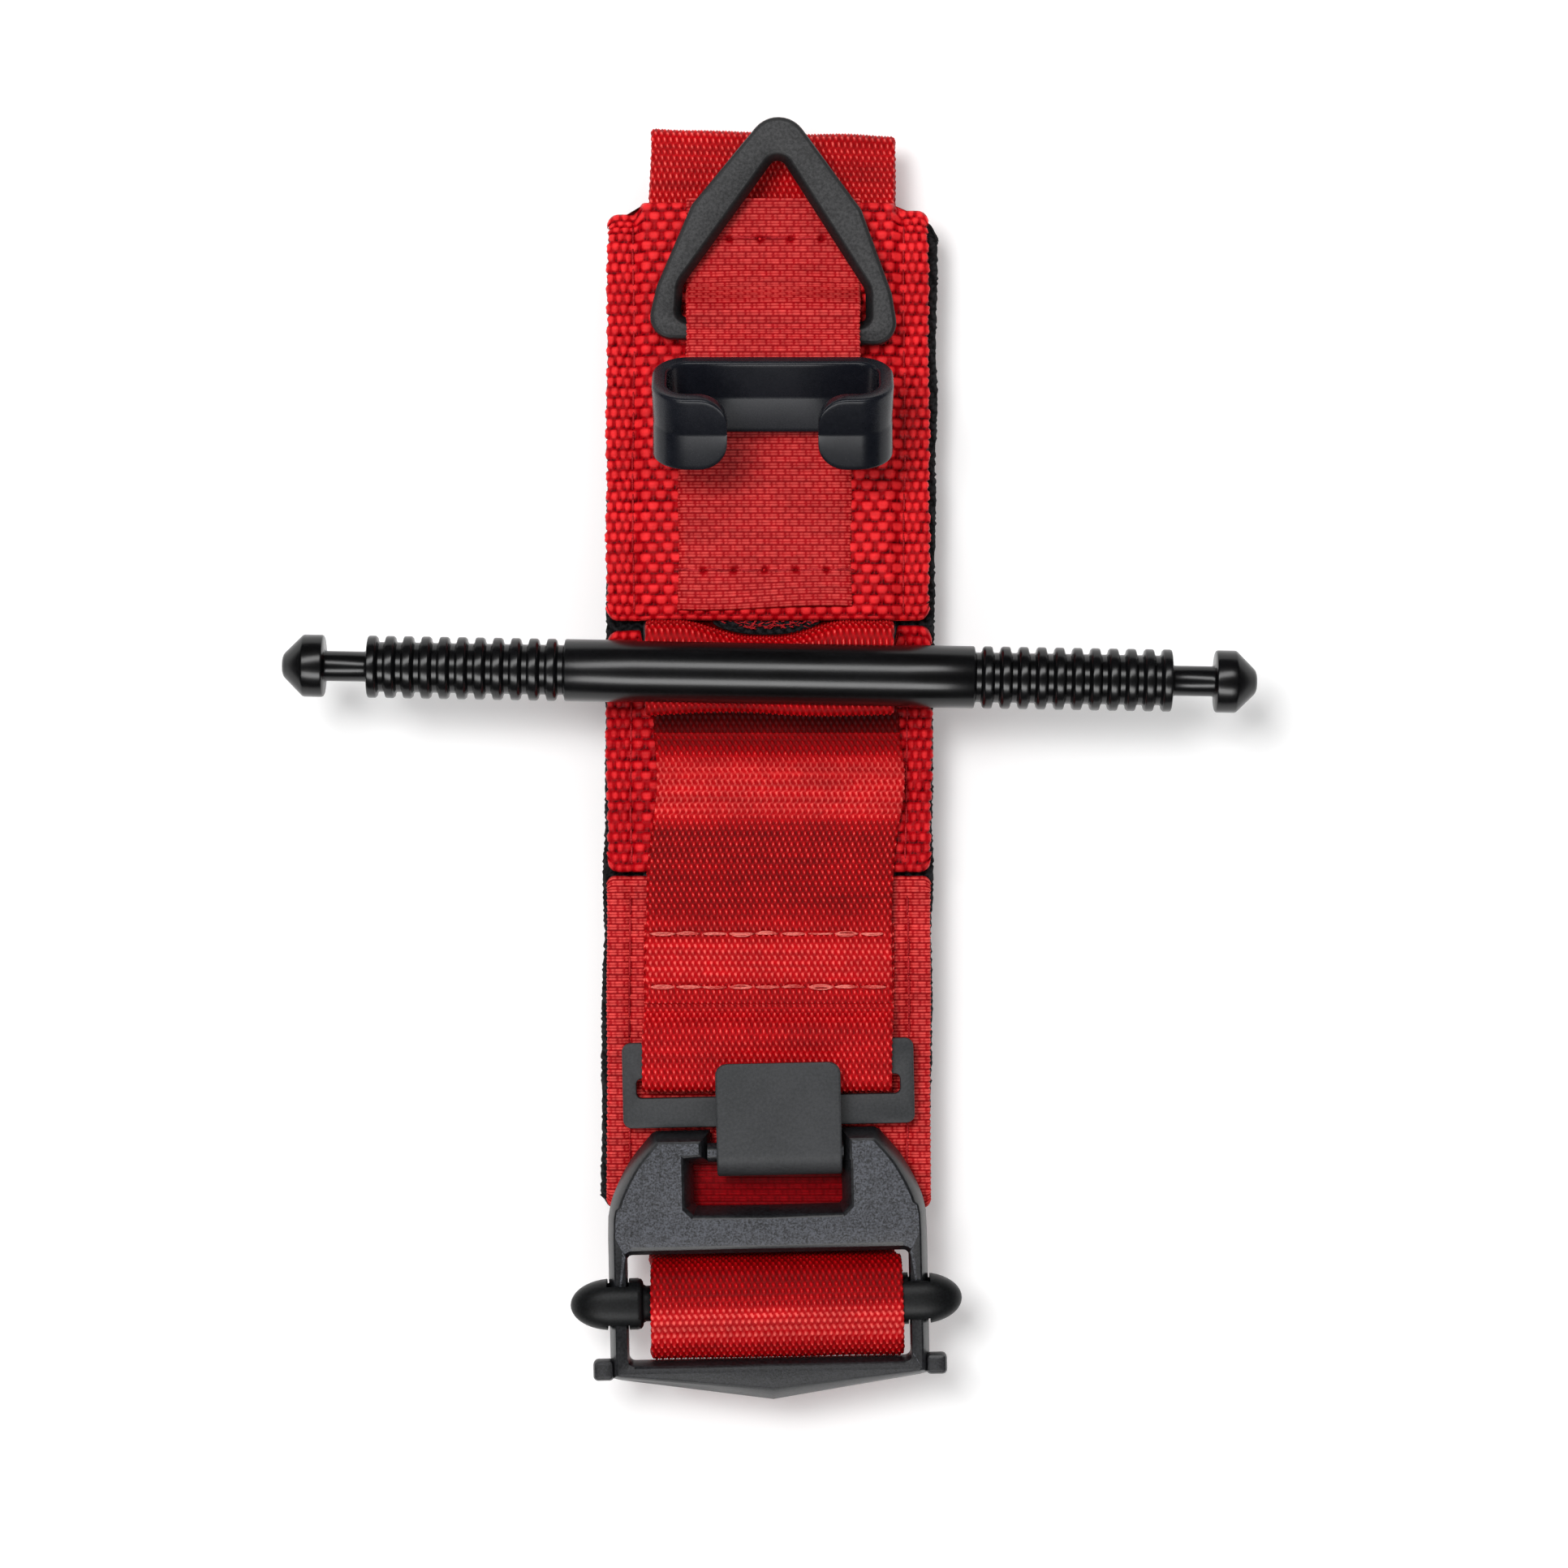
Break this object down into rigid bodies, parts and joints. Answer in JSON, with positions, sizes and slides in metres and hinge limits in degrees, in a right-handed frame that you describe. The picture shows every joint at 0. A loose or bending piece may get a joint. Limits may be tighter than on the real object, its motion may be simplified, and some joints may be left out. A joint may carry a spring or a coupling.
{
  "type": "windlass tourniquet",
  "caption": "Flat-folded webbing tourniquet with a slotted metal windlass, a C-shaped windlass clip, a pull ring and a hook buckle with a sliding lock bar.",
  "frame": {"origin": "centre of the bounding box, at the level of the lowest strap layer, lying on its back", "axes": "+X along the windlass, +Y along the strap towards the pull ring, +Z out of the front"},
  "size_m": [0.1484, 0.1965, 0.0354],
  "materials": {
    "backing": "brushed loop pile",
    "stiffener": "plain sheet",
    "heavy_webbing": "coarse basket weave",
    "fine_webbing": "fine ribbed weave",
    "ribbon": "fine ribbed weave",
    "strap": "tight nylon weave with a sheen",
    "red_thread": "bonded thread",
    "pale_thread": "slightly frayed thread",
    "ring_plastic": "fine moulded texture",
    "clip_plastic": "smooth satin moulding",
    "anodised_rod": "black satin anodised",
    "plate_metal": "matte dark coating",
    "buckle_metal": "grainy cast finish under a dark coat"
  },
  "bodies": {
    "base": {"backing": "backing", "stiffener": "stiffener", "upper_webbing": "heavy_webbing", "middle_webbing": "heavy_webbing", "lower_webbing": "fine_webbing", "upper_side_seams": "red_thread", "middle_side_seams": "red_thread", "lower_side_seams": "red_thread", "retention_ribbon": "ribbon", "ribbon_top_stitches": "red_thread", "ribbon_end_stitches": "red_thread", "main_strap": "strap", "strap_tail": "strap", "tail_hem": "strap", "windlass_strap": "strap", "front_strap": "strap", "hook_loop": "strap", "loop_upper_stitches": "pale_thread", "loop_lower_stitches": "pale_thread"},
    "windlass": {"windlass": "anodised_rod"},
    "pull_ring": {"pull_ring": "ring_plastic"},
    "windlass_clip": {"windlass_clip": "clip_plastic"},
    "hook_plate": {"hook_plate": "plate_metal"},
    "buckle_frame": {"buckle_frame": "buckle_metal", "buckle_strap": "strap"},
    "lock_bar": {"lock_bar": "buckle_metal"}
  },
  "joints": [
    {"name": "windlass_twist", "type": "hinge", "parent": "base", "child": "windlass", "pos_m": [0, 0.0127, 0.0216], "axis": [0, 0, 1], "range_deg": [-45, 45], "deforming": ["windlass_strap"]},
    {"name": "ring_swing", "type": "hinge", "parent": "base", "child": "pull_ring", "pos_m": [0.0005, 0.0652, 0.01725], "axis": [0.9996, -0.0297, 0], "range_deg": [0, 85]},
    {"name": "clip_tilt", "type": "hinge", "parent": "base", "child": "windlass_clip", "pos_m": [0.0005, 0.0563, 0.01905], "axis": [1, 0, 0], "range_deg": [-30, 3], "deforming": ["retention_ribbon"]},
    {"name": "hook_swing", "type": "hinge", "parent": "base", "child": "hook_plate", "pos_m": [-0.0003, -0.0463, 0.015], "axis": [-0.9998, -0.0209, 0], "range_deg": [0, 25], "deforming": ["hook_loop"]},
    {"name": "buckle_pivot", "type": "hinge", "parent": "hook_plate", "child": "buckle_frame", "pos_m": [0, -0.0604, 0.0177], "axis": [-0.9998, -0.0209, 0], "range_deg": [0, 30]},
    {"name": "lock_bar_slide", "type": "slide", "parent": "buckle_frame", "child": "lock_bar", "axis": [-0.0209, 0.9998, 0], "range_m": [-0.004, 0.003], "deforming": ["buckle_strap"]}
  ]
}
